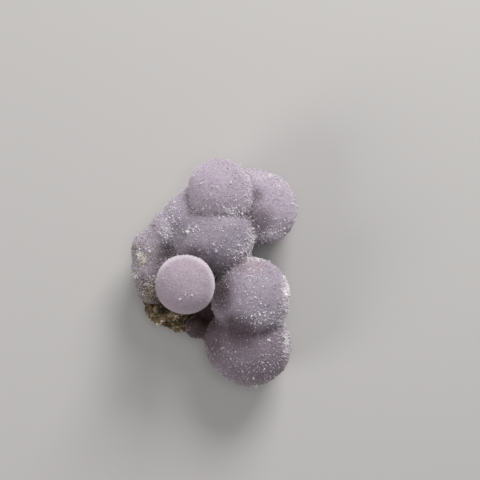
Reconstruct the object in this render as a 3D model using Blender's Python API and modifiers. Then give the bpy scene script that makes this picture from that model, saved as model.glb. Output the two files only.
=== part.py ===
"""A loose piece of grape agate: round chalcedony balls grown together on a remnant of their host rock.

The piece lies on its broken back, on the plane z = 0, with its best side up. X runs to the right and Y
towards the top of that side. Everything is shaped in millimetres and scaled to metres when it is done.
"""

import math
import random

import bmesh
import bpy
from mathutils import Matrix, Vector, noise

MM = 0.001

# Each lobe is (x, y, z, radius). A ball that isn't quite round is two or three lobes close together.
TOP_BALL = (
    (0.51, 7.78, 7.00, 2.97),
    (1.18, 7.30, 6.85, 2.56),
)
TOP_RIGHT_BALL = (
    (4.42, 6.14, 3.60, 3.53),
    (3.40, 6.75, 3.70, 3.30),
)
MIDDLE_BALL = (
    (0.48, 3.45, 6.20, 3.32),
    (-0.85, 3.50, 5.80, 3.01),
)
FRONT_BALL = ((-2.56, -0.97, 9.90, 2.77),)
RIGHT_BALL = (
    (3.70, -1.92, 6.50, 3.35),
    (3.72, -2.55, 6.50, 3.14),
    (2.95, -2.60, 5.60, 3.30),
    (4.45, -3.05, 5.60, 2.62),
    (2.65, -3.40, 4.40, 2.50),
)
BOTTOM_BALL = (
    (2.95, -6.62, 3.95, 3.87),
    (3.50, -7.05, 3.95, 3.85),
)
LEFT_RIDGE = (
    (-1.60, 6.90, 5.80, 1.55),
    (-2.65, 5.50, 5.50, 2.05),
    (-4.35, 4.25, 5.20, 1.70),
    (-5.35, 3.35, 4.90, 1.45),
    (-6.25, 2.45, 4.80, 1.60),
    (-6.35, 1.40, 4.60, 1.50),
    (-6.40, 0.40, 4.50, 1.50),
    (-6.22, -0.60, 4.40, 1.45),
    (-5.98, -1.55, 4.30, 1.42),
)
# Balls on the outer side of the ridge, under its edge.
FLANK_BALLS = (
    (-4.50, 4.55, 3.60, 1.05),
    (-5.45, 3.40, 3.55, 1.15),
    (-6.55, 2.05, 3.60, 1.15),
    (-6.10, 1.15, 2.50, 0.95),
    (-6.75, 0.30, 3.25, 1.05),
    (-6.35, -1.15, 3.20, 1.00),
    (-5.40, -2.20, 3.45, 0.92),
)
SMALL_BALL = ((-1.80, -5.30, 3.40, 1.10),)
# The body of the crust, which the best side hides, and the smaller balls of its back and sides.
BACK_MASS = (
    (-2.80, -0.50, 6.00, 2.10),
    (-3.25, 0.45, 3.60, 2.45),
    (-1.50, 1.50, 3.30, 2.70),
    (1.25, 1.70, 4.00, 2.15),
    (-0.40, -3.40, 2.20, 1.70),
    (1.40, -2.20, 3.40, 2.20),
    (0.30, 5.60, 3.00, 2.45),
    (-2.30, 3.60, 3.10, 2.20),
    (1.60, -4.70, 2.60, 1.95),
)
BACK_BALLS = (
    (-0.95, 7.20, 3.60, 1.35),
    (5.05, -2.60, 3.10, 1.50),
    (5.15, -4.30, 2.20, 1.25),
    (2.20, 2.10, 2.20, 1.20),
    (-2.60, 5.60, 2.60, 1.20),
    (0.10, -5.10, 1.70, 1.05),
)
CRUST = (
    TOP_BALL
    + TOP_RIGHT_BALL
    + MIDDLE_BALL
    + RIGHT_BALL
    + BOTTOM_BALL
    + LEFT_RIDGE
    + FLANK_BALLS
    + SMALL_BALL
    + BACK_MASS
    + BACK_BALLS
)

# The host rock behind the left side, broken flat where it rests.
ROCK_LUMPS = (
    (-4.60, -3.05, 2.50, 2.10),
    (-3.30, -4.00, 2.30, 1.80),
    (-4.80, -0.40, 1.70, 2.30),
    (-4.10, 2.40, 1.50, 2.10),
    (-1.70, 0.60, 1.10, 2.60),
    (-1.50, -2.60, 1.40, 2.20),
    (0.60, 1.30, 0.80, 2.00),
)

LOBE_SWELL = 0.025  # how far a ball departs from round, as a share of its radius
SWELLS_PER_RADIUS = 0.9
GROOVE_RADIUS = 0.24  # the hollow curve where two balls meet
ROCK_SWELL = 0.16
CRAG_HEIGHT = 0.28
CRAG_SIZE = 0.95
CRAG_LEVEL = 0.5  # what part of a crag lies under the surface that it breaks
FINE_SHARE = 0.6  # of the crags' height, for the finer breaks on them
FINE_TURNS = 1.7  # how many fine breaks to a crag
FINE_OCTAVES = 3
BALL_SUBDIVISIONS = 5
LUMP_SUBDIVISIONS = 4
KNOB_SUBDIVISIONS = 3
VOXEL = 0.17
LOBE_SMOOTHINGS = 2
SKIN_SMOOTHINGS = 3
BREAK_SMOOTHINGS = 1
GAP = 0.36  # left between the two solids, where the crust has grown on the rock
CLUSTER_TRIANGLES = 6600
ROCK_TRIANGLES = 2300
CUT_TOLERANCE = 1e-5

CHALCEDONY_COLOUR = (0.40, 0.33, 0.39)
CHALCEDONY_ROUGHNESS = 0.62
ROCK_COLOUR = (0.13, 0.10, 0.06)
ROCK_ROUGHNESS = 0.90

# Knobs too small to name, on the flank where the crust is thin.
KNOB_SEED = 11
KNOB_COUNT = 30
KNOBS_FROM_LOBE = 3  # of the left ridge: the lobes above this one are smooth
KNOB_RADII = (0.35, 0.75)
KNOB_TURNS = (95, 265)  # degrees round Z, so on the outer side
KNOB_RISES = (-35, 75)  # degrees above level
KNOB_SINK = 0.72  # how deep a knob is set in its lobe, as a share of its radius


def clear_scene():
    for obj in list(bpy.data.objects):
        bpy.data.objects.remove(obj)


def collection(name):
    made = bpy.data.collections.new(name)
    bpy.context.scene.collection.children.link(made)
    return made


def stone_material(name, colour, roughness):
    """A plain stone finish."""
    made = bpy.data.materials.new(name)
    made.use_nodes = True
    surface = made.node_tree.nodes["Principled BSDF"]
    surface.inputs["Base Color"].default_value = (*colour, 1.0)
    surface.inputs["Roughness"].default_value = roughness
    surface.inputs["Metallic"].default_value = 0.0
    return made


def add_lobe(bm, lobe, swell, subdivisions, grow=0.0):
    """Adds one lobe as a ball with slow swellings, so that no two are alike."""
    centre, radius = Vector(lobe[:3]), lobe[3]
    made = bmesh.ops.create_icosphere(bm, subdivisions=subdivisions, radius=1.0)
    for vert in made["verts"]:
        outward = vert.co.normalized()
        rise = noise.noise(outward * SWELLS_PER_RADIUS + centre)
        vert.co = centre + outward * (radius * (1.0 + swell * rise) + grow)


def flank_knobs():
    """Small knobs scattered over the outer side of the left ridge, half sunk in it."""
    chance = random.Random(KNOB_SEED)
    knobs = []
    for _ in range(KNOB_COUNT):
        x, y, z, radius = chance.choice(LEFT_RIDGE[KNOBS_FROM_LOBE:])
        turn = math.radians(chance.uniform(*KNOB_TURNS))
        rise = math.radians(chance.uniform(*KNOB_RISES))
        outward = Vector((math.cos(turn) * math.cos(rise), math.sin(turn) * math.cos(rise), math.sin(rise)))
        size = chance.uniform(*KNOB_RADII)
        place = Vector((x, y, z)) + outward * (radius - size * KNOB_SINK)
        knobs.append((*place, size))
    return tuple(knobs)


def object_of(name, bm, home):
    mesh = bpy.data.meshes.new(name)
    bm.to_mesh(mesh)
    bm.free()
    obj = bpy.data.objects.new(name, mesh)
    home.objects.link(obj)
    return obj


def lobes_object(name, lobes, home, swell, subdivisions, grow=0.0):
    bm = bmesh.new()
    for lobe in lobes:
        add_lobe(bm, lobe, swell, subdivisions, grow)
    return object_of(name, bm, home)


def fuse(obj, voxel, smoothings):
    """Makes the overlapping lobes of an object one skin."""
    skin = obj.modifiers.new("fused", "REMESH")
    skin.mode = "VOXEL"
    skin.voxel_size = voxel
    soft = obj.modifiers.new("evened", "SMOOTH")
    soft.factor = 0.5
    soft.iterations = smoothings


def take_in(obj, depth):
    """Moves a skin inwards. On lobes that were grown by the same depth, this leaves rounded grooves."""
    inward = obj.modifiers.new("taken in", "DISPLACE")
    inward.strength = -depth
    inward.mid_level = 0.0


def thin_out(obj, triangles):
    """Leaves about this many triangles, most of them where the surface turns."""
    whole = obj.modifiers.new("triangles", "TRIANGULATE")
    whole.keep_custom_normals = False
    few = obj.modifiers.new("fewer", "DECIMATE")
    few.ratio = triangles / triangle_count(obj)
    few.use_collapse_triangulate = True


def triangle_count(obj):
    graph = bpy.context.evaluated_depsgraph_get()
    evaluated = obj.evaluated_get(graph)
    return len(evaluated.data.polygons)


def apply_modifiers(obj):
    graph = bpy.context.evaluated_depsgraph_get()
    mesh = bpy.data.meshes.new_from_object(obj.evaluated_get(graph))
    obj.modifiers.clear()
    old = obj.data
    obj.data = mesh
    bpy.data.meshes.remove(old)


def roughen(obj, height, size):
    """Breaks a rounded surface into crags of about this height and size."""
    mesh = obj.data
    moves = []
    for vert in mesh.vertices:
        place = vert.co / size
        crag = noise.voronoi(place)[0][0] - CRAG_LEVEL
        fine = noise.fractal(place * FINE_TURNS, 1.0, 2.0, FINE_OCTAVES)
        moves.append(vert.normal * height * (crag + FINE_SHARE * fine))
    for vert, move in zip(mesh.vertices, moves):
        vert.co += move


def cut_flat(obj, height):
    """Takes off all that lies under a level plane, and closes the cut."""
    bm = bmesh.new()
    bm.from_mesh(obj.data)
    everything = bm.verts[:] + bm.edges[:] + bm.faces[:]
    cut = bmesh.ops.bisect_plane(
        bm,
        geom=everything,
        dist=CUT_TOLERANCE,
        plane_co=(0.0, 0.0, height),
        plane_no=(0.0, 0.0, 1.0),
        clear_inner=True,
    )
    rim = [e for e in cut["geom_cut"] if isinstance(e, bmesh.types.BMEdge)]
    bmesh.ops.holes_fill(bm, edges=rim)
    bmesh.ops.triangulate(bm, faces=bm.faces[:])
    bm.to_mesh(obj.data)
    bm.free()


def keep_largest(obj):
    """Drops the crumbs that a cut leaves loose."""
    bm = bmesh.new()
    bm.from_mesh(obj.data)
    left = set(bm.verts)
    groups = []
    while left:
        group, edge_of_group = set(), [left.pop()]
        while edge_of_group:
            vert = edge_of_group.pop()
            group.add(vert)
            near = {e.other_vert(vert) for e in vert.link_edges} & left
            left -= near
            edge_of_group.extend(near)
        groups.append(group)
    groups.sort(key=len)
    for group in groups[:-1]:
        bmesh.ops.delete(bm, geom=list(group), context="VERTS")
    bm.to_mesh(obj.data)
    bm.free()


def finish_piece(obj, material):
    obj.data.transform(Matrix.Scale(MM, 4))
    obj.data.materials.clear()
    obj.data.materials.append(material)
    obj.data.shade_smooth()
    obj.data.update()


def crust_skin(name, home, grow=0.0):
    """The fused crust with its front ball, which stands clear of its neighbours on a narrow seat."""
    skin = lobes_object(name, CRUST, home, LOBE_SWELL, BALL_SUBDIVISIONS, GROOVE_RADIUS + grow)
    fuse(skin, VOXEL, LOBE_SMOOTHINGS)
    take_in(skin, GROOVE_RADIUS)
    apply_modifiers(skin)
    bm = bmesh.new()
    bm.from_mesh(skin.data)
    for ball in FRONT_BALL:
        add_lobe(bm, ball, LOBE_SWELL, BALL_SUBDIVISIONS, grow)
    for knob in flank_knobs():
        add_lobe(bm, knob, ROCK_SWELL, KNOB_SUBDIVISIONS, grow)
    bm.to_mesh(skin.data)
    bm.free()
    fuse(skin, VOXEL, SKIN_SMOOTHINGS)
    return skin


def build_cluster(home):
    """All the balls and the mass behind them, which grew as one body of chalcedony."""
    cluster = crust_skin("grape_cluster", home)
    thin_out(cluster, CLUSTER_TRIANGLES)
    apply_modifiers(cluster)
    finish_piece(cluster, stone_material("chalcedony", CHALCEDONY_COLOUR, CHALCEDONY_ROUGHNESS))
    return cluster


def build_rock(home, cutters):
    """The remnant of host rock, hollowed where the balls have grown into it and broken flat below."""
    rock = lobes_object("matrix_rock", ROCK_LUMPS, home, ROCK_SWELL, LUMP_SUBDIVISIONS)
    fuse(rock, VOXEL, LOBE_SMOOTHINGS)
    apply_modifiers(rock)
    roughen(rock, CRAG_HEIGHT, CRAG_SIZE)

    seat = crust_skin("seat_cutter", cutters, GAP)
    seat.hide_render = True
    seat.display_type = "WIRE"
    hollow = rock.modifiers.new("seat", "BOOLEAN")
    hollow.operation = "DIFFERENCE"
    hollow.solver = "EXACT"
    hollow.object = seat
    fuse(rock, VOXEL, BREAK_SMOOTHINGS)
    apply_modifiers(rock)
    keep_largest(rock)

    thin_out(rock, ROCK_TRIANGLES)
    apply_modifiers(rock)
    cut_flat(rock, 0.0)
    keep_largest(rock)
    finish_piece(rock, stone_material("host_rock", ROCK_COLOUR, ROCK_ROUGHNESS))
    return rock


def main():
    clear_scene()
    piece = collection("grape_agate")
    cutters = collection("cutters")
    build_cluster(piece)
    build_rock(piece, cutters)


main()
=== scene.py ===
"""The looks of the grape agate piece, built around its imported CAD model.

The balls get a sugary skin: a finely remeshed copy of the solid with low relief, and joined meshes of
very small quartz crystals that stand on it. The host rock gets a broken surface with mineral grains.
Shapes are worked out in millimetres and scaled to metres when an object is finished.
"""

import math
from collections import namedtuple

import bmesh
import bpy
import numpy as np
from mathutils import Matrix, Vector, noise
from mathutils.bvhtree import BVHTree
from mathutils.kdtree import KDTree


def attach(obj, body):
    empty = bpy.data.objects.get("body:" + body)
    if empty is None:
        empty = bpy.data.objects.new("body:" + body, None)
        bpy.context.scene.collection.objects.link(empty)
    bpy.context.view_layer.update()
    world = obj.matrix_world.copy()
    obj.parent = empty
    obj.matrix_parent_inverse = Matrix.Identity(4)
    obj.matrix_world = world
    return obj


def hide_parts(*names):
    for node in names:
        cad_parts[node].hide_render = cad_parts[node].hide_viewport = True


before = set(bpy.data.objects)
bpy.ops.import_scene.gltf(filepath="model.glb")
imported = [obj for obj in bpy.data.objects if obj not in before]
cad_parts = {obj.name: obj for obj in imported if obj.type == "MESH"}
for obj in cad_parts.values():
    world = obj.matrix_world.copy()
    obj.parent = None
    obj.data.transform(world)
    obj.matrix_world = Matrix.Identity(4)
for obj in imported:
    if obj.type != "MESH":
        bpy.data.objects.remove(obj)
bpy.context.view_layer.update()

MM = 0.001
SEED = 4817

# The photograph: 480 pixels square, seen from straight above.
PHOTO_PIXELS = 480
MM_PER_PIXEL = 0.0945
CAMERA_MM = (2.46, 3.12, 136.0)
FOCUS_HEIGHT_MM = 6.0
SENSOR_MM = 36.0
NEAREST_SEEN = 0.001  # metres

# The studio. Each light: its place and width in millimetres, its power and its colour.
LIGHTS = {
    "window": ((75.0, 180.0, 140.0), 110.0, 0.54, (1.0, 0.98, 0.97)),
    "overhead": ((20.0, 20.0, 260.0), 100.0, 0.14, (1.0, 0.98, 0.98)),
    "left_fill": ((-190.0, -90.0, 140.0), 110.0, 0.19, (1.0, 0.97, 0.96)),
}
LIGHT_AIM_MM = (0.0, 0.0, 5.0)
BACKDROP_COLOUR = (0.98, 0.97, 1.0, 1.0)
BACKDROP_STRENGTH = 0.17
FLOOR_REACH = 0.6  # metres from its middle to each side

# Each ball: (x, y, z, radius), then how pale (partly painted light), how pink (partly painted warm
# reflection) and how darkened by painted shade its stone is.
BALLS = {
    "top": ((0.80, 7.58, 6.90, 3.02), (0.72, 0.10, 0.00)),
    "top_right": ((4.00, 6.50, 3.65, 3.60), (0.68, 0.05, 0.00)),
    "middle": ((0.00, 3.35, 6.05, 3.42), (0.02, 0.00, 0.08)),
    "front": ((-2.56, -0.97, 9.90, 2.77), (0.30, 0.30, 0.00)),
    "right": ((3.55, -2.40, 6.15, 3.55), (0.18, 0.05, 0.00)),
    "bottom": ((3.20, -6.85, 3.95, 3.95), (0.00, 0.00, 0.67)),
    "ridge_top": ((-2.65, 5.50, 5.50, 2.05), (0.40, 0.00, 0.00)),
    "ridge_left": ((-4.75, 3.90, 5.10, 1.70), (0.40, 0.00, 0.00)),
    "ridge_edge": ((-6.30, 1.50, 4.65, 1.55), (0.45, 0.05, 0.00)),
    "ridge_low": ((-6.10, -0.90, 4.35, 1.45), (0.05, 0.10, 0.60)),
    "seat": ((-2.80, -0.50, 6.00, 2.10), (0.00, 0.00, 0.40)),
    "valley": ((-3.25, 0.45, 3.60, 2.45), (0.00, 0.00, 0.30)),
    "under_front": ((-0.40, -3.40, 2.20, 1.70), (0.00, 0.35, 0.90)),
    "between": ((2.65, -3.40, 4.40, 2.50), (0.00, 0.20, 0.50)),
    "small": ((-1.80, -5.30, 3.40, 1.10), (0.00, 0.45, 0.95)),
}
BLEND_MM = 0.40  # over this distance one ball's colour gives way to the next

# Painted shade: spots where the stone is darkened as if shaded by the balls beside it: (x, y, z, reach),
# then how dark.
PAINTED_SHADE_SPOTS = (
    ((0.90, -2.30, 7.60, 2.6), 0.75),
    ((2.30, -5.10, 7.70, 3.0), 0.85),
    ((4.60, -5.10, 7.30, 1.6), 0.55),
    ((0.10, -5.80, 6.20, 3.2), 0.80),
    ((4.30, 5.00, 6.80, 2.0), 0.55),
    ((3.90, 7.30, 7.00, 1.2), 0.60),
    ((-5.20, -1.80, 5.20, 1.6), 0.40),
    ((-2.60, 4.00, 7.00, 1.9), 0.32),
)
# Where the stone is made rosier than the rest of its ball, mostly a painted warm reflection on the lower
# sides of the front and bottom balls: (x, y, z, reach), then how much.
WARM_REFLECTION_AND_BLUSH = (
    ((-3.80, -3.10, 10.20, 4.0), 0.55),
    ((-2.40, -3.70, 9.40, 2.2), 1.00),
    ((3.60, -10.40, 5.20, 2.6), 0.45),
    ((0.00, -8.20, 5.00, 2.2), 0.35),
    ((3.60, 0.90, 8.20, 2.2), 0.45),
)
SPOT_CORE = 0.25  # a spot of painted shade or of warm reflection and blush is full over this part of its reach

# The deep hollow beside the front ball. The stone round it is painted near-black as painted shadow, and
# reddened as a painted warm reflection.
HOLLOW_MM = (-0.90, -3.90, 2.60)
HOLLOW_REACH_MM = (1.6, 4.8)

# The stained crust sets in from here leftwards and from here downwards, and is full at the second number.
CRUST_LEFT = (3.6, 6.6)
CRUST_LOW = (-3.2, -0.6)

RIM_LIGHT_TOWARDS = (0.60, 0.80, 0.00)  # the side of the front ball, towards the light, where its girth gets a painted rim highlight

# Where the larger crystals crowd, seen from above: (x, y, reach in x, reach in y), then how much.
CRYSTAL_PATCHES = (
    ((6.75, -1.55, 0.40, 0.70), 7.5),
    ((6.60, -3.00, 0.35, 0.80), 3.5),
    ((3.80, 1.25, 0.95, 0.30), 3.0),
    ((3.90, -0.20, 0.60, 0.55), 2.5),
    ((4.20, -4.10, 1.05, 0.55), 3.0),
    ((6.45, -4.75, 0.55, 0.35), 4.0),
    ((6.85, -6.60, 0.40, 1.60), 5.0),
    ((4.60, -9.00, 1.10, 0.50), 0.5),
    ((1.60, 5.80, 0.75, 0.35), 5.5),
    ((-1.70, 5.80, 0.60, 0.30), 1.8),
    ((3.20, 7.60, 0.28, 1.50), 1.4),
    ((3.40, 3.20, 0.40, 1.00), 2.5),
    ((2.40, 2.10, 0.90, 0.70), 1.5),
    ((4.40, 9.00, 1.20, 0.45), 2.0),
    ((6.20, 8.10, 0.40, 0.40), 2.0),
    ((5.40, 3.60, 1.30, 0.40), 5.0),
    ((-4.50, 3.85, 0.55, 0.70), 4.0),
    ((-3.60, 5.60, 0.80, 0.80), 1.2),
    ((-2.00, 3.90, 0.50, 0.40), 2.5),
    ((-7.05, 1.80, 0.22, 0.30), 9.0),
    ((-7.40, -0.30, 0.30, 0.26), 6.0),
    ((-6.05, -0.75, 0.40, 0.40), 1.5),
)
# Where stained grains crowd on the left edge, seen from above: (x, y, reach), how much, how much paler.
GRAIN_PATCHES = (
    ((-6.75, 1.30, 0.42), 9.0, 0.50),
    ((-6.20, -1.60, 0.80), 3.4, -0.30),
    ((-5.60, -2.40, 0.60), 4.0, -0.40),
    ((-7.10, 2.30, 0.60), 1.2, 0.00),
)
# The few crystals that stand alone on the smooth front ball, seen from above: (x, y, width).
STRAY_CRYSTALS = (
    (-2.98, -2.21, 0.20),
    (-2.86, -2.17, 0.17),
    (-2.44, -1.82, 0.15),
    (-2.36, -1.66, 0.12),
    (-1.86, -1.83, 0.20),
    (-1.14, -2.40, 0.15),
    (-4.47, -0.39, 0.12),
)
STRAY_WHITE = 0.75
# Lighter and darker places of the host rock, seen from above: (x, y, reach), then how much lighter.
ROCK_PATCHES = (
    ((-4.05, -4.30, 0.45), 0.45),
    ((-3.30, -4.30, 0.35), 0.20),
    ((-5.95, -3.90, 0.30), 0.60),
    ((-5.30, -4.95, 0.32), 0.50),
    ((-4.95, -3.35, 0.60), -0.90),
    ((-4.35, -4.85, 0.40), -0.70),
    ((-3.00, -4.70, 0.60), -0.35),
)

# Kinds of crystals and grains: the usual width in millimetres and how it varies, the least and the most
# height to a width, how far they lean, their number of sides, and how high up their shoulders are.
Kind = namedtuple("Kind", "count width variety heights lean sides shoulder")
SUGAR = Kind(49000, width=0.092, variety=0.28, heights=(0.45, 0.95), lean=0.40, sides=3, shoulder=0.0)
POINTS = Kind(9000, width=0.078, variety=0.38, heights=(0.70, 1.50), lean=0.55, sides=6, shoulder=0.45)
EDGE_GRAINS = Kind(3400, width=0.095, variety=0.30, heights=(0.30, 0.80), lean=0.60, sides=5, shoulder=0.40)
ROCK_GRAINS = Kind(4200, width=0.170, variety=0.55, heights=(0.15, 0.65), lean=0.80, sides=4, shoulder=0.40)
STRAY_HEIGHT = 0.60  # to a width
STRAY_LEAN = 0.35
FOOT = 0.35  # the part of its height by which a crystal's foot is sunk

# Stops of the colour ramps: (position, colour).
STONE_TINTS = (
    (0.30, (0.314, 0.280, 0.341)),
    (0.52, (0.365, 0.328, 0.395)),
    (0.72, (0.418, 0.376, 0.450)),
)
GROUND_TINTS = (
    (0.34, (0.036, 0.024, 0.011)),
    (0.46, (0.108, 0.077, 0.040)),
    (0.56, (0.190, 0.138, 0.074)),
    (0.70, (0.335, 0.256, 0.160)),
)
ROCK_TINTS = (
    (0.00, (0.040, 0.026, 0.012)),
    (0.35, (0.130, 0.085, 0.040)),
    (0.60, (0.215, 0.158, 0.078)),
    (0.80, (0.385, 0.292, 0.168)),
    (1.00, (0.730, 0.635, 0.500)),
)
EDGE_TINTS = (
    (0.00, (0.105, 0.082, 0.060)),
    (0.50, (0.360, 0.320, 0.280)),
    (1.00, (0.700, 0.660, 0.620)),
)

# What each vertex value turns the stone to, in this order, and how far at the most.
# The paler tint is partly painted light and the pink one partly a painted warm reflection; the four dark
# tints after them are painted shade: on low balls, in spots beside other balls, in recesses and in grooves.
STONE_LAYERS = (
    ("pale", 1.00, (0.540, 0.472, 0.565)),
    ("pink", 1.00, (0.430, 0.308, 0.342)),
    ("ball_shade", 1.00, (0.160, 0.118, 0.142)),
    ("painted_shade", 1.00, (0.074, 0.043, 0.053)),
    ("recess_shade", 0.76, (0.118, 0.076, 0.086)),
    ("groove", 0.50, (0.092, 0.056, 0.066)),
)
STONE_FIELDS = ("pale", "pink", "ball_shade", "painted_shade", "recess_shade", "groove", "hollow", "crust", "rim_highlight")
CRUST_TINT = (0.345, 0.318, 0.285)
CRUST_MOST = 0.60
RIM_HIGHLIGHT_TINT = (0.740, 0.700, 0.740)
RIM_HIGHLIGHT_MOST = 0.60
LIGHT_SPECKLE = (0.620, 0.560, 0.610)
DARK_SPECKLE = (0.170, 0.135, 0.165)
SPECKLE_MOST = 0.60
SPECKLE_LOST_TO_SHADE = 0.50
DARK_SPECKLE_MOST = 0.75
HOLLOW_SHADOW_TINT = (0.022, 0.006, 0.006)
QUARTZ_WHITE = (0.800, 0.775, 0.795)
ROCK_OLIVE = (0.128, 0.116, 0.050)
ROCK_PALE_GRAIN = (0.430, 0.335, 0.230)
ROCK_PIT = (0.018, 0.012, 0.008)
ROCK_PIT_MOST = 0.65
ROCK_CREAM = (0.540, 0.425, 0.310)
ROCK_SHADOW = (0.016, 0.008, 0.005)

# What is the same all over a surface, set on the shader's own sockets.
SKIN_SHADER = {
    "Diffuse Roughness": 0.7,
    "Specular IOR Level": 0.30,
    "Subsurface Weight": 0.15,
    "Subsurface Radius": (0.9, 0.7, 0.85),
    "Subsurface Scale": 0.25 * MM,
    "Sheen Weight": 0.28,
    "Sheen Roughness": 0.35,
}
CRYSTAL_SHADER = {
    "Diffuse Roughness": 0.7,
    "Specular IOR Level": 0.55,
    "Subsurface Weight": 0.15,
    "Subsurface Radius": (0.9, 0.8, 0.9),
    "Subsurface Scale": 0.20 * MM,
}
ROCK_SHADER = {"Roughness": 0.78, "Specular IOR Level": 0.35}
GRAIN_SHADER = {"Roughness": 0.45, "Specular IOR Level": 0.35}
FLOOR_SHADER = {"Base Color": (0.50, 0.495, 0.485, 1.0), "Roughness": 0.85}
SKIN_ROUGHNESS = (0.42, 0.80)
CRYSTAL_ROUGHNESS = (0.42, 0.16)  # in the skin, and standing clear of it

# The skin's mesh and relief, in millimetres. Each relief: the size of its features, then their height.
SKIN_VOXEL = 0.118
SKIN_SWELL = (1.6, 0.05)
SKIN_LUMPS = (0.50, 0.020)
SKIN_SUGAR = (0.25, 0.065)
CRUST_LUMPS = 0.05  # so much higher are the lumps on the stained crust
CRUST_SUGAR = 0.04
GROOVE_SUGAR = 0.03
CELL_MIDDLE = 0.45
FRONT_CALM = 0.45  # the part of the relief that the smooth front ball lacks
EVENING_ROUNDS = 26  # about 0.4 mm of evening out, to tell the grooves from the balls
GROOVE_HOLLOW = (0.005, 0.10)  # how hollow a place is where a groove sets in, and where it is full
DEEPEST_HOLLOW = 0.15
GROOVE_DEEPENING = 1.2
SKIN_CLEARANCE = 0.02  # over the resting plane

# The host rock's mesh and relief, in the same way.
ROCK_VOXEL = 0.090
ROCK_CRAGS = (0.8, 0.14)
ROCK_PITS = (0.75, 0.22)
ROCK_GRIT = (0.22, 0.05)
PIT_CELLS = 0.32

# The probe that finds how shut in each place is.
PROBE_VOXEL = 0.35
SKY_RAYS = 72
SKY_REACH = 9.0  # millimetres
GRAZING = 0.05  # rays flatter than this are left out
PROBE_NEIGHBOURS = 4
RECESS_RANGE = (0.08, 0.80)

# The colour sockets of a Mix node.
MIX_FROM = 6
MIX_TO = 7
MIX_RESULT = 2


class Paint:
    """Builds one material's nodes. Features are in millimetres, in the piece's own coordinates."""

    def __init__(self, name, constants):
        self.material = bpy.data.materials.new(name)
        self.material.use_nodes = True
        self.nodes = self.material.node_tree.nodes
        self.links = self.material.node_tree.links
        self.shader = self.nodes["Principled BSDF"]
        self.place = None
        for socket, value in constants.items():
            self.shader.inputs[socket].default_value = value

    def feed(self, socket, value):
        """Links a value that varies over the surface to one of the shader's sockets."""
        self.links.new(value, self.shader.inputs[socket])

    def texture(self, kind, feature_mm):
        """A texture node whose features are about this many millimetres across."""
        if self.place is None:
            self.place = self.nodes.new("ShaderNodeTexCoord").outputs["Object"]
        made = self.nodes.new(kind)
        made.inputs["Scale"].default_value = 1.0 / (feature_mm * MM)
        self.links.new(self.place, made.inputs["Vector"])
        return made

    def noise(self, feature_mm, detail=3.0, roughness=0.55):
        """Cloudy noise from 0 to 1."""
        made = self.texture("ShaderNodeTexNoise", feature_mm)
        made.inputs["Detail"].default_value = detail
        made.inputs["Roughness"].default_value = roughness
        return made.outputs["Fac"]

    def cells(self, feature_mm, output="Distance"):
        """Cells like those of grains: the distance from a cell's middle, or its own random colour."""
        return self.texture("ShaderNodeTexVoronoi", feature_mm).outputs[output]

    def ramp(self, value, stops):
        """A colour ramp through (position, colour) stops."""
        made = self.nodes.new("ShaderNodeValToRGB")
        elements = made.color_ramp.elements
        while len(elements) < len(stops):
            elements.new(0.5)
        for element, (position, colour) in zip(elements, stops):
            element.position = position
            element.color = (*colour, 1.0)
        self.links.new(value, made.inputs["Fac"])
        return made.outputs["Color"]

    def steps(self, value, low, high):
        """A value that goes softly from 0 to 1 as the given one goes from low to high."""
        made = self.nodes.new("ShaderNodeMapRange")
        made.interpolation_type = "SMOOTHSTEP"
        made.inputs["From Min"].default_value = low
        made.inputs["From Max"].default_value = high
        self.links.new(value, made.inputs["Value"])
        return made.outputs["Result"]

    def between(self, value, low, high):
        """A value that goes evenly from low to high as the given one goes from 0 to 1."""
        made = self.nodes.new("ShaderNodeMapRange")
        made.inputs["To Min"].default_value = low
        made.inputs["To Max"].default_value = high
        self.links.new(value, made.inputs["Value"])
        return made.outputs["Result"]

    def maths(self, operation, first, second):
        """A Math node of two values, each a socket or a number."""
        made = self.nodes.new("ShaderNodeMath")
        made.operation = operation
        for socket, value in zip(made.inputs, (first, second)):
            if isinstance(value, float):
                socket.default_value = value
            else:
                self.links.new(value, socket)
        return made.outputs["Value"]

    def attribute(self, name, most=1.0):
        """One of the mesh's own vertex values, times the most that it may count for."""
        made = self.nodes.new("ShaderNodeAttribute")
        made.attribute_name = name
        value = made.outputs["Fac"]
        return value if most == 1.0 else self.maths("MULTIPLY", value, most)

    def tinted(self, colour, amount, tint):
        """A colour turned to a tint by an amount."""
        made = self.nodes.new("ShaderNodeMix")
        made.data_type = "RGBA"
        self.links.new(amount, made.inputs["Factor"])
        self.links.new(colour, made.inputs[MIX_FROM])
        made.inputs[MIX_TO].default_value = (*tint, 1.0)
        return made.outputs[MIX_RESULT]

    def bumps(self, heights):
        """Bumps for the shader, each (height socket, depth in millimetres, strength)."""
        normal = None
        for height, depth_mm, strength in heights:
            made = self.nodes.new("ShaderNodeBump")
            made.inputs["Distance"].default_value = depth_mm * MM
            made.inputs["Strength"].default_value = strength
            self.links.new(height, made.inputs["Height"])
            if normal is not None:
                self.links.new(normal, made.inputs["Normal"])
            normal = made.outputs["Normal"]
        self.feed("Normal", normal)


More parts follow.
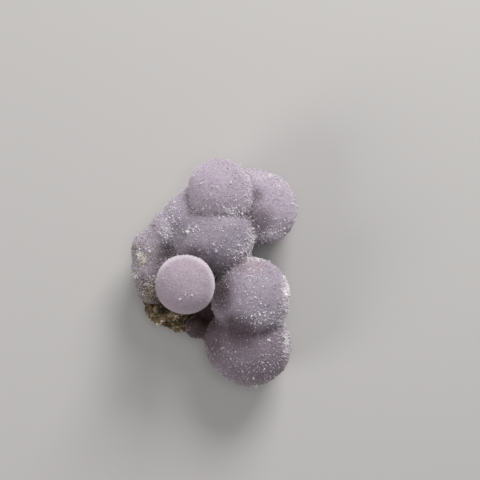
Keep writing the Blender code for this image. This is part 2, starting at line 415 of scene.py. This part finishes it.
def stone_colour(paint):
    """The lilac-grey of the chalcedony, from the skin's own attributes and slow noise, with painted light,
    shade and warm reflection.
    """
    colour = paint.ramp(paint.noise(2.6, 2.0), STONE_TINTS)
    for name, most, tint in STONE_LAYERS:
        colour = paint.tinted(colour, paint.attribute(name, most), tint)
    stain = paint.steps(paint.noise(0.9, 4.0, 0.65), 0.42, 0.62)
    stained = paint.maths("MULTIPLY", paint.attribute("crust"), stain)
    colour = paint.tinted(colour, paint.maths("MULTIPLY", stained, CRUST_MOST), CRUST_TINT)
    colour = paint.tinted(colour, paint.attribute("rim_highlight", RIM_HIGHLIGHT_MOST), RIM_HIGHLIGHT_TINT)
    speckle = paint.noise(0.16, 2.0, 0.6)
    # Speckles fade in the painted shade.
    clear = paint.maths("SUBTRACT", SPECKLE_MOST, paint.attribute("painted_shade", SPECKLE_LOST_TO_SHADE))
    lighter = paint.maths("MULTIPLY", paint.steps(speckle, 0.56, 0.74), clear)
    colour = paint.tinted(colour, lighter, LIGHT_SPECKLE)
    darker = paint.maths("MULTIPLY", paint.steps(speckle, 0.44, 0.30), clear)
    colour = paint.tinted(colour, paint.maths("MULTIPLY", darker, DARK_SPECKLE_MOST), DARK_SPECKLE)
    # Painted shadow in the deep hollow, reddish as a painted warm reflection.
    return paint.tinted(colour, paint.attribute("hollow"), HOLLOW_SHADOW_TINT)


def rock_colour(paint):
    """Greenish-brown broken rock with pale grains, dark pits, and lighter and darker places."""
    colour = paint.ramp(paint.noise(1.1, 4.0, 0.6), GROUND_TINTS)
    olive = paint.steps(paint.noise(0.8, 2.0), 0.50, 0.66)
    colour = paint.tinted(colour, olive, ROCK_OLIVE)
    grain = paint.nodes.new("ShaderNodeSeparateColor")
    paint.links.new(paint.cells(0.22, "Color"), grain.inputs["Color"])
    colour = paint.tinted(colour, paint.steps(grain.outputs["Red"], 0.80, 0.90), ROCK_PALE_GRAIN)
    pits = paint.steps(paint.cells(0.34), 0.30, 0.05)
    colour = paint.tinted(colour, paint.maths("MULTIPLY", pits, ROCK_PIT_MOST), ROCK_PIT)
    light = paint.attribute("light")
    colour = paint.tinted(colour, paint.steps(light, 0.60, 1.00), ROCK_CREAM)
    return paint.tinted(colour, paint.steps(light, 0.45, 0.05), ROCK_SHADOW)


def skin_material():
    """The matt skin of the balls, a little glossier in places."""
    paint = Paint("chalcedony_skin", SKIN_SHADER)
    paint.feed("Base Color", stone_colour(paint))
    paint.feed("Roughness", paint.between(paint.noise(0.35), *SKIN_ROUGHNESS))
    paint.bumps((
        (paint.noise(0.22, 3.0, 0.6), 0.06, 0.5),
        (paint.cells(0.13), 0.05, 0.6),
    ))
    return paint.material


def crystal_material():
    """Quartz crystals: lilac in the skin, whitish and bright where they stand clear of it."""
    paint = Paint("sugar_crystals", CRYSTAL_SHADER)
    white = paint.attribute("white")
    paint.feed("Base Color", paint.tinted(stone_colour(paint), white, QUARTZ_WHITE))
    paint.feed("Roughness", paint.between(white, *CRYSTAL_ROUGHNESS))
    return paint.material


def rock_material():
    """The rough host rock."""
    paint = Paint("host_rock_skin", ROCK_SHADER)
    paint.feed("Base Color", rock_colour(paint))
    paint.bumps((
        (paint.noise(0.45, 5.0, 0.65), 0.16, 0.8),
        (paint.cells(0.16), 0.06, 0.7),
    ))
    return paint.material


def grain_material(name, tints):
    """Broken mineral grains, each of one tint between those given."""
    paint = Paint(name, GRAIN_SHADER)
    paint.feed("Base Color", paint.ramp(paint.attribute("tint"), tints))
    return paint.material


def mesh_object(name, mesh):
    """A new object of this mesh, linked to the scene."""
    obj = bpy.data.objects.new(name, mesh)
    bpy.context.scene.collection.objects.link(obj)
    return obj


def fine_copy(name, node, voxel, smoothings):
    """A finely and evenly meshed copy of a CAD node, in millimetres, without the solid's facets."""
    bm = bmesh.new()
    bm.from_mesh(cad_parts[node].data)
    bmesh.ops.scale(bm, vec=Vector((1, 1, 1)) / MM, verts=bm.verts)
    bmesh.ops.remove_doubles(bm, verts=bm.verts, dist=0.001)
    mesh = bpy.data.meshes.new(name)
    bm.to_mesh(mesh)
    bm.free()
    obj = mesh_object(name, mesh)
    rounded = obj.modifiers.new("rounded", "SUBSURF")
    rounded.levels = rounded.render_levels = 1
    even = obj.modifiers.new("even", "REMESH")
    even.mode = "VOXEL"
    even.voxel_size = voxel
    soft = obj.modifiers.new("soft", "SMOOTH")
    soft.factor = 0.5
    soft.iterations = smoothings
    graph = bpy.context.evaluated_depsgraph_get()
    finished = bpy.data.meshes.new_from_object(obj.evaluated_get(graph))
    obj.modifiers.clear()
    obj.data = finished
    return obj


def vertex_arrays(mesh):
    """The places and the normals of a mesh's vertices."""
    count = len(mesh.vertices)
    places = np.empty(count * 3, np.float32)
    normals = np.empty(count * 3, np.float32)
    mesh.vertices.foreach_get("co", places)
    mesh.vertices.foreach_get("normal", normals)
    return places.reshape(-1, 3).astype(float), normals.reshape(-1, 3).astype(float)


def set_places(mesh, places):
    """Moves a mesh's vertices."""
    mesh.vertices.foreach_set("co", places.astype(np.float32).ravel())
    mesh.update()


def set_field(mesh, name, values):
    """Gives a mesh one value to a vertex, which its material reads by name."""
    layer = mesh.attributes.new(name, "FLOAT", "POINT")
    layer.data.foreach_set("value", np.asarray(values, np.float32))


def fields_of(mesh):
    """All the values that a mesh's vertices were given, by name."""
    fields = {}
    for layer in mesh.attributes:
        if layer.data_type == "FLOAT" and layer.domain == "POINT":
            values = np.empty(len(mesh.vertices), np.float32)
            layer.data.foreach_get("value", values)
            fields[layer.name] = values.astype(float)
    return fields


def triangles(mesh):
    """The vertex numbers of a mesh's triangles."""
    mesh.calc_loop_triangles()
    corners = np.empty(len(mesh.loop_triangles) * 3, np.int32)
    mesh.loop_triangles.foreach_get("vertices", corners)
    return corners.reshape(-1, 3)


def noise_at(places, size, octaves=1):
    """Noise from about -1 to 1 at each place, with features of this size."""
    if octaves == 1:
        return np.array([noise.noise(Vector(p) / size) for p in places])
    return np.array([noise.fractal(Vector(p) / size, 1.0, 2.0, octaves) for p in places])


def cells_at(places, size):
    """0 at the middle of a cell and about 1 at its border."""
    return np.array([noise.voronoi(Vector(p) / size)[0][0] for p in places])


def smoothstep(value, low, high):
    """Goes softly from 0 to 1 as the value goes from low to high."""
    t = np.clip((value - low) / (high - low), 0.0, 1.0)
    return t * t * (3.0 - 2.0 * t)


def seen_from_above(places, x, y, reach_x, reach_y):
    """A soft round patch, 1 at its middle and fading out with this reach."""
    return np.exp(-(((places[:, 0] - x) / reach_x) ** 2 + ((places[:, 1] - y) / reach_y) ** 2))


def spread(places, spots):
    """The most that any of the spots gives at each place, fading out at the spot's reach."""
    most = np.zeros(len(places))
    for (x, y, z, reach), amount in spots:
        away = np.linalg.norm(places - np.array((x, y, z)), axis=1)
        most = np.maximum(most, amount * (1.0 - smoothstep(away, SPOT_CORE * reach, reach)))
    return most


def girth_rim_highlight(places):
    """A painted rim highlight round the girth of the front ball, fullest on the side towards the light."""
    (x, y, z, radius), _ = BALLS["front"]
    outward = (places - np.array((x, y, z))) / radius
    above = smoothstep(outward[:, 2], 0.62, 0.25)
    below = smoothstep(outward[:, 2], -0.45, -0.05)
    return above * below * smoothstep(outward @ RIM_LIGHT_TOWARDS, -0.75, 0.45)


def ball_fields(places):
    """The skin's attributes at each place, from the balls near it."""
    spheres = np.array([sphere for sphere, _ in BALLS.values()])
    looks = np.array([look for _, look in BALLS.values()])
    off = np.linalg.norm(places[:, None, :] - spheres[None, :, :3], axis=2) - spheres[None, :, 3]
    weight = np.exp(-np.abs(off) / BLEND_MM)
    weight /= weight.sum(axis=1, keepdims=True) + 1e-9
    pale, pink, ball_shade = (weight @ looks).T
    front = weight[:, list(BALLS).index("front")]
    return {
        "pale": pale,
        "pink": np.maximum(pink, spread(places, WARM_REFLECTION_AND_BLUSH)),
        "ball_shade": ball_shade,
        "painted_shade": spread(places, PAINTED_SHADE_SPOTS) * (1.0 - smoothstep(front, 0.2, 0.6)),
        "front": front,
        "rim_highlight": girth_rim_highlight(places) * smoothstep(front, 0.5, 0.9),
    }


def crust_field(places):
    """How much the left flank and the back show the thin, stained edge of the crust."""
    left = smoothstep(-places[:, 0], *CRUST_LEFT)
    low = smoothstep(-places[:, 2], *CRUST_LOW)
    return np.clip(np.maximum(left, low), 0, 1)


def crowding(places, normals):
    """How much the larger crystals crowd at each place of the best side."""
    total = np.zeros(len(places))
    for patch, amount in CRYSTAL_PATCHES:
        total += amount * seen_from_above(places, *patch)
    return total * smoothstep(normals[:, 2], -0.30, 0.05) * smoothstep(places[:, 2], 2.6, 4.4)


def evened(mesh, places, rounds):
    """The places after each vertex has gone this many times to the middle of its neighbours."""
    ends = np.empty(len(mesh.edges) * 2, np.int32)
    mesh.edges.foreach_get("vertices", ends)
    one, other = ends.reshape(-1, 2).T
    count = len(places)
    neighbours = np.bincount(ends, minlength=count)
    for _ in range(rounds):
        sums = []
        for axis in places.T:
            sums.append(np.bincount(one, axis[other], count) + np.bincount(other, axis[one], count))
        places = (np.array(sums) / neighbours).T
    return places


def sky_directions(count):
    """Directions spread evenly over a whole ball."""
    step = np.arange(count) + 0.5
    rise = 1.0 - 2.0 * step / count
    turn = step * math.pi * (3.0 - math.sqrt(5.0))
    level = np.sqrt(1.0 - rise ** 2)
    return np.stack((level * np.cos(turn), level * np.sin(turn), rise), axis=1)


def hidden_sky(tree, spot, normal, directions):
    """The part of the sky over one place that the piece itself hides."""
    facing = directions @ normal
    start = Vector(spot + normal * PROBE_VOXEL * 0.5)
    seen = total = 0.0
    for direction, share in zip(directions[facing > GRAZING], facing[facing > GRAZING]):
        total += share
        if tree.ray_cast(start, Vector(direction), SKY_REACH)[0] is None:
            seen += share
    return 1.0 - seen / total


def recess_field(places):
    """How shut in each place is by the piece itself, from 0 in the open to 1 deep in a hollow."""
    probe = fine_copy("recess_probe", "grape_cluster", PROBE_VOXEL, smoothings=2)
    spots, normals = vertex_arrays(probe.data)
    tree = BVHTree.FromPolygons(spots.tolist(), triangles(probe.data).tolist())
    bpy.data.objects.remove(probe)
    directions = sky_directions(SKY_RAYS)
    shut = [hidden_sky(tree, spot, normal, directions) for spot, normal in zip(spots, normals)]
    near = KDTree(len(spots))
    for index, spot in enumerate(spots):
        near.insert(spot, index)
    near.balance()
    field = np.empty(len(places))
    for index, place in enumerate(places):
        found = near.find_n(Vector(place), PROBE_NEIGHBOURS)
        shares = [1.0 / (distance + 0.05) for _, _, distance in found]
        field[index] = sum(shut[i] * w for (_, i, _), w in zip(found, shares)) / sum(shares)
    return field


def build_skin():
    """The fine skin of the balls, with the low relief of a druzy surface."""
    skin = fine_copy("grape_skin", "grape_cluster", SKIN_VOXEL, smoothings=3)
    mesh = skin.data
    places, normals = vertex_arrays(mesh)
    fields = ball_fields(places)
    crust = crust_field(places)
    calm = 1.0 - FRONT_CALM * fields["front"]
    hollowed = ((evened(mesh, places, EVENING_ROUNDS) - places) * normals).sum(axis=1)
    groove = smoothstep(hollowed, *GROOVE_HOLLOW)
    deepened = np.clip(hollowed, 0.0, DEEPEST_HOLLOW) * GROOVE_DEEPENING
    swell = noise_at(places, SKIN_SWELL[0]) * SKIN_SWELL[1]
    lumps = noise_at(places, SKIN_LUMPS[0]) * (SKIN_LUMPS[1] + CRUST_LUMPS * crust)
    sugar_height = SKIN_SUGAR[1] + GROOVE_SUGAR * groove + CRUST_SUGAR * crust
    sugar = (CELL_MIDDLE - cells_at(places, SKIN_SUGAR[0])) * sugar_height
    places += normals * ((swell + lumps + sugar) * calm - deepened)[:, None]
    places[:, 2] = np.maximum(places[:, 2], SKIN_CLEARANCE)
    set_places(mesh, places)
    from_hollow = np.linalg.norm(places - np.array(HOLLOW_MM), axis=1)
    # The groove value also darkens the stone's colour in the grooves, as painted shade.
    fields["groove"] = groove
    fields["crust"] = crust
    fields["crowding"] = crowding(places, normals)
    # Painted shade: the stone is darkened where the piece hides more of the sky.
    fields["recess_shade"] = smoothstep(recess_field(places), *RECESS_RANGE)
    # Painted shadow round the deep hollow beside the front ball.
    fields["hollow"] = 1.0 - smoothstep(from_hollow, *HOLLOW_REACH_MM)
    for name, values in fields.items():
        set_field(mesh, name, values)
    return skin


class Sample:
    """Random places on a mesh, with normals, denser where the vertices' weight is more."""

    def __init__(self, mesh, weight, count, chance):
        places, normals = vertex_arrays(mesh)
        corners = triangles(mesh)
        a, b, c = (places[corners[:, i]] for i in range(3))
        area = np.linalg.norm(np.cross(b - a, c - a), axis=1) / 2.0
        share = area * weight[corners].mean(axis=1)
        picked = chance.choice(len(corners), size=count, p=share / share.sum())
        u, v = chance.random((2, count))
        folded = u + v > 1.0
        u[folded], v[folded] = 1.0 - u[folded], 1.0 - v[folded]
        self.corner = corners[picked]
        self.mix = np.stack((u, v, 1.0 - u - v), axis=1)
        self.count = count
        self.spots = self.at(places)
        normals = self.at(normals)
        self.normals = normals / np.linalg.norm(normals, axis=1, keepdims=True)

    def at(self, values):
        """A vertex value, a number or a vector, at each sampled place."""
        mix = self.mix if values.ndim == 1 else self.mix[:, :, None]
        return (values[self.corner] * mix).sum(axis=1)


def leaning(normals, lean, chance):
    """Directions that lean away from the normals by up to about this much."""
    pushed = normals + chance.normal(0.0, lean, normals.shape)
    return pushed / np.linalg.norm(pushed, axis=1, keepdims=True)


def frames(axes, chance):
    """Two directions across each axis, turned at random about it."""
    upward = np.array([[0.0, 0.0, 1.0]])
    sideways = np.array([[1.0, 0.0, 0.0]])
    helper = np.where(np.abs(axes[:, 2:3]) < 0.8, upward, sideways)
    across = np.cross(axes, helper)
    across /= np.linalg.norm(across, axis=1, keepdims=True)
    beside = np.cross(axes, across)
    roll = chance.uniform(0, 2 * math.pi, len(axes))[:, None]
    first = np.cos(roll) * across + np.sin(roll) * beside
    second = np.cross(axes, first)
    return first, second


def crystal_faces(sides, rings):
    """The triangles of one closed crystal: its rings, then its tip, then its foot."""
    faces = []
    for ring in range(rings - 1):
        low, high = ring * sides, (ring + 1) * sides
        for side in range(sides):
            after = (side + 1) % sides
            faces.append((low + side, low + after, high + after))
            faces.append((low + side, high + after, high + side))
    top = (rings - 1) * sides
    tip = rings * sides
    for side in range(sides):
        faces.append((top + side, top + (side + 1) % sides, tip))
    for side in range(1, sides - 1):
        faces.append((0, side + 1, side))
    return np.array(faces)


def crystals(name, spots, axes, widths, heights, kind, chance):
    """One mesh of many closed crystals, prisms with pointed ends; also how many points each one has."""
    first, second = frames(axes, chance)
    rises = [-FOOT] if kind.shoulder == 0 else [-FOOT, kind.shoulder]
    copies = kind.sides * len(rises) + 1
    points = np.empty((len(spots), copies, 3))
    for ring, rise in enumerate(rises):
        middle = spots + axes * (heights * rise)[:, None]
        for side, turn in enumerate(np.arange(kind.sides) * 2 * math.pi / kind.sides):
            out = first * math.cos(turn) + second * math.sin(turn)
            points[:, ring * kind.sides + side] = middle + out * (widths / 2)[:, None]
    points[:, -1] = spots + axes * heights[:, None]
    points[:, :, 2] = np.maximum(points[:, :, 2], 0.0)
    shifts = (np.arange(len(spots)) * copies)[:, None, None]
    corners = (crystal_faces(kind.sides, len(rises))[None] + shifts).reshape(-1)
    return flat_mesh(name, points.reshape(-1, 3), corners), copies


def flat_mesh(name, points, corners):
    """An object of flat triangles from arrays of points and corner numbers."""
    mesh = bpy.data.meshes.new(name)
    mesh.vertices.add(len(points))
    mesh.vertices.foreach_set("co", points.astype(np.float32).ravel())
    mesh.loops.add(len(corners))
    mesh.loops.foreach_set("vertex_index", corners.astype(np.int32))
    mesh.polygons.add(len(corners) // 3)
    mesh.polygons.foreach_set("loop_start", np.arange(0, len(corners), 3, dtype=np.int32))
    mesh.update(calc_edges=True)
    mesh.validate()
    return mesh_object(name, mesh)


def grown(name, kind, sample, chance, wider=1.0, taller=1.0):
    """The crystals of one kind at the sampled places, and how many points each one has."""
    widths = chance.lognormal(math.log(kind.width), kind.variety, sample.count) * wider
    heights = widths * chance.uniform(*kind.heights, sample.count) * taller
    axes = leaning(sample.normals, kind.lean, chance)
    return crystals(name, sample.spots, axes, widths, heights, kind, chance)


def set_stone_fields(obj, sample, fields, copies):
    """Gives crystals the colour of the skin that they stand on."""
    for name in STONE_FIELDS:
        set_field(obj.data, name, np.repeat(sample.at(fields[name]), copies))


def build_sugar(skin):
    """The fine crystals all over the skin, fewer and smaller on the smooth front ball."""
    chance = np.random.default_rng(SEED)
    places, _ = vertex_arrays(skin.data)
    fields = fields_of(skin.data)
    patchy = smoothstep(noise_at(places, 1.3, 3), -0.45, 0.75)
    weight = 0.35 + 1.1 * patchy + 0.7 * fields["groove"] + 0.4 * fields["crust"]
    weight *= (1.0 - 0.25 * fields["front"]) * (1.0 - 0.6 * fields["hollow"])
    sample = Sample(skin.data, weight, SUGAR.count, chance)
    smooth_here = sample.at(fields["front"])
    white = 0.9 * chance.random(sample.count) ** 5
    # Crystals are made less white on the smooth front ball, and in the painted shade of the hollow and of
    # the shade spots.
    white *= (1.0 - 0.35 * smooth_here) * (1.0 - sample.at(fields["hollow"]))
    white *= 1.0 - 0.6 * sample.at(fields["painted_shade"])
    # Painted rim highlight: the fine crystals round the front ball's girth are made whiter.
    white = np.maximum(white, 0.9 * sample.at(fields["rim_highlight"]) * chance.random(sample.count))
    wider = (1.0 - 0.15 * smooth_here) * (1.0 + 0.4 * white)
    taller = 1.0 - 0.40 * smooth_here
    obj, copies = grown("sugar_crystals", SUGAR, sample, chance, wider, taller)
    set_field(obj.data, "white", np.repeat(white, copies))
    set_stone_fields(obj, sample, fields, copies)
    return obj


def build_points(skin):
    """Larger clear crystals that catch the light, in patches and along the grooves."""
    chance = np.random.default_rng(SEED + 1)
    places, _ = vertex_arrays(skin.data)
    fields = fields_of(skin.data)
    patchy = smoothstep(noise_at(places + 7.0, 0.9, 3), 0.05, 0.85)
    weight = 0.12 + 0.8 * patchy + 0.5 * fields["groove"] - 0.08 * fields["crust"]
    weight += fields["crowding"]
    weight *= (1.0 - fields["hollow"]) * (1.0 - 0.6 * fields["painted_shade"])
    weight *= (1.0 - 0.985 * fields["front"]) * (1.0 - 0.4 * fields["ball_shade"])
    sample = Sample(skin.data, weight, POINTS.count, chance)
    crowd_here = smoothstep(sample.at(fields["crowding"]), 0.5, 6.0)
    # Points are made less white where the stone is painted shade.
    dark_here = sample.at(np.maximum(fields["painted_shade"], 0.6 * fields["ball_shade"]))
    wider = 1.0 + 0.35 * crowd_here
    taller = 1.0 - 0.35 * crowd_here
    obj, copies = grown("quartz_points", POINTS, sample, chance, wider, taller)
    white = np.maximum(chance.uniform(0.35, 1.0, sample.count) * (1.0 - 0.6 * dark_here), crowd_here)
    set_field(obj.data, "white", np.repeat(white, copies))
    set_stone_fields(obj, sample, fields, copies)
    return obj


def build_strays():
    """The crystals that stand alone on the front ball."""
    chance = np.random.default_rng(SEED + 4)
    (centre_x, centre_y, centre_z, radius), _ = BALLS["front"]
    spots = []
    for x, y, _ in STRAY_CRYSTALS:
        rise = math.sqrt(radius ** 2 - (x - centre_x) ** 2 - (y - centre_y) ** 2)
        spots.append((x, y, centre_z + rise))
    spots = np.array(spots)
    normals = (spots - np.array((centre_x, centre_y, centre_z))) / radius
    widths = np.array([width for _, _, width in STRAY_CRYSTALS])
    axes = leaning(normals, STRAY_LEAN, chance)
    obj, copies = crystals("stray_crystals", spots, axes, widths, widths * STRAY_HEIGHT, POINTS, chance)
    set_field(obj.data, "white", np.full(len(spots) * copies, STRAY_WHITE))
    return obj


def build_edge_grains(skin):
    """Stained grains along the left edge, where the crust runs out."""
    chance = np.random.default_rng(SEED + 3)
    places, _ = vertex_arrays(skin.data)
    fields = fields_of(skin.data)
    weight = 0.35 * smoothstep(noise_at(places + 11.0, 0.8, 3), 0.15, 0.65)
    paler = np.zeros(len(places))
    for (x, y, reach), amount, lift in GRAIN_PATCHES:
        near = seen_from_above(places, x, y, reach, reach)
        weight += amount * near
        paler += lift * near
    weight *= fields["crust"] ** 2 * smoothstep(places[:, 2], 0.4, 2.5)
    weight *= 1.0 - smoothstep(fields["front"], 0.05, 0.30)
    sample = Sample(skin.data, weight, EDGE_GRAINS.count, chance)
    obj, copies = grown("edge_grains", EDGE_GRAINS, sample, chance)
    tint = np.clip(chance.beta(1.4, 1.8, sample.count) + sample.at(paler), 0.0, 1.0)
    set_field(obj.data, "tint", np.repeat(tint, copies))
    return obj


def build_rock():
    """The host rock with a broken, pitted surface, flat where it rests."""
    rock = fine_copy("host_rock_skin", "matrix_rock", ROCK_VOXEL, smoothings=2)
    mesh = rock.data
    places, normals = vertex_arrays(mesh)
    above = smoothstep(places[:, 2], 0.02, 0.35)
    crags = noise_at(places, ROCK_CRAGS[0], 3) * ROCK_CRAGS[1]
    pits = -smoothstep(PIT_CELLS - cells_at(places + 3.0, ROCK_PITS[0]), 0.0, 0.3) * ROCK_PITS[1]
    grit = noise_at(places, ROCK_GRIT[0]) * ROCK_GRIT[1]
    places += normals * ((crags + pits + grit) * above)[:, None]
    places[:, 2] = np.maximum(places[:, 2], 0.0)
    set_places(mesh, places)
    light = noise_at(places + 5.0, 0.7, 2) * 0.8 - 0.15
    for (x, y, reach), amount in ROCK_PATCHES:
        light += amount * seen_from_above(places, x, y, reach, reach)
    set_field(mesh, "light", np.clip(0.5 + 0.5 * light, 0.0, 1.0))
    return rock


def build_rock_grains(rock):
    """Broken mineral grains, set in the rock."""
    chance = np.random.default_rng(SEED + 2)
    places, _ = vertex_arrays(rock.data)
    weight = 0.25 + smoothstep(noise_at(places, 0.9, 2), -0.2, 0.6)
    weight *= smoothstep(places[:, 2], 0.1, 0.5)
    sample = Sample(rock.data, weight, ROCK_GRAINS.count, chance)
    obj, copies = grown("mineral_grains", ROCK_GRAINS, sample, chance)
    light_here = sample.at(fields_of(rock.data)["light"])
    tint = np.clip(chance.beta(1.6, 1.6, sample.count) + 1.1 * (light_here - 0.5), 0.0, 1.0)
    set_field(obj.data, "tint", np.repeat(tint, copies))
    return obj


def finish_piece(obj, material, smooth):
    """Scales a piece to metres and gives it its material and the body that it rides on."""
    obj.data.transform(Matrix.Scale(MM, 4))
    obj.data.materials.clear()
    obj.data.materials.append(material)
    if smooth:
        obj.data.shade_smooth()
    else:
        obj.data.shade_flat()
    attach(obj, "root")


def build_floor():
    """The plain pale floor."""
    bm = bmesh.new()
    bmesh.ops.create_grid(bm, x_segments=1, y_segments=1, size=FLOOR_REACH)
    mesh = bpy.data.meshes.new("studio_floor")
    bm.to_mesh(mesh)
    bm.free()
    floor = mesh_object("studio_floor", mesh)
    floor.data.materials.append(Paint("studio_floor", FLOOR_SHADER).material)


def build_lights():
    """Soft square lights that face the piece, and an even backdrop."""
    for name, (place_mm, size_mm, power, colour) in LIGHTS.items():
        data = bpy.data.lights.new(name, "AREA")
        data.shape = "SQUARE"
        data.size = size_mm * MM
        data.energy = power
        data.color = colour
        lamp = bpy.data.objects.new(name, data)
        lamp.location = Vector(place_mm) * MM
        aim = Vector(LIGHT_AIM_MM) * MM - lamp.location
        lamp.rotation_euler = aim.to_track_quat("-Z", "Y").to_euler()
        bpy.context.scene.collection.objects.link(lamp)
    world = bpy.data.worlds.new("studio")
    world.use_nodes = True
    backdrop = world.node_tree.nodes["Background"]
    backdrop.inputs["Color"].default_value = BACKDROP_COLOUR
    backdrop.inputs["Strength"].default_value = BACKDROP_STRENGTH
    bpy.context.scene.world = world


def build_camera():
    """The camera of the photograph, straight above the piece."""
    data = bpy.data.cameras.new("camera")
    data.sensor_width = SENSOR_MM
    half_view = 0.5 * PHOTO_PIXELS * MM_PER_PIXEL
    data.lens = 0.5 * SENSOR_MM / half_view * (CAMERA_MM[2] - FOCUS_HEIGHT_MM)
    data.clip_start = NEAREST_SEEN
    camera = bpy.data.objects.new("camera", data)
    camera.location = Vector(CAMERA_MM) * MM
    bpy.context.scene.collection.objects.link(camera)
    bpy.context.scene.camera = camera


def main():
    """Builds the studio, then the pieces, then their materials."""
    build_camera()
    build_lights()
    build_floor()
    bpy.context.scene.view_settings.view_transform = "Standard"
    skin = build_skin()
    sugar = build_sugar(skin)
    points = build_points(skin)
    strays = build_strays()
    edge = build_edge_grains(skin)
    rock = build_rock()
    grains = build_rock_grains(rock)
    crystal = crystal_material()
    finish_piece(skin, skin_material(), smooth=True)
    finish_piece(sugar, crystal, smooth=False)
    finish_piece(points, crystal, smooth=False)
    finish_piece(strays, crystal, smooth=False)
    finish_piece(edge, grain_material("edge_grains", EDGE_TINTS), smooth=False)
    finish_piece(rock, rock_material(), smooth=True)
    finish_piece(grains, grain_material("mineral_grains", ROCK_TINTS), smooth=False)
    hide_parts("grape_cluster")
    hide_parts("matrix_rock")


main()
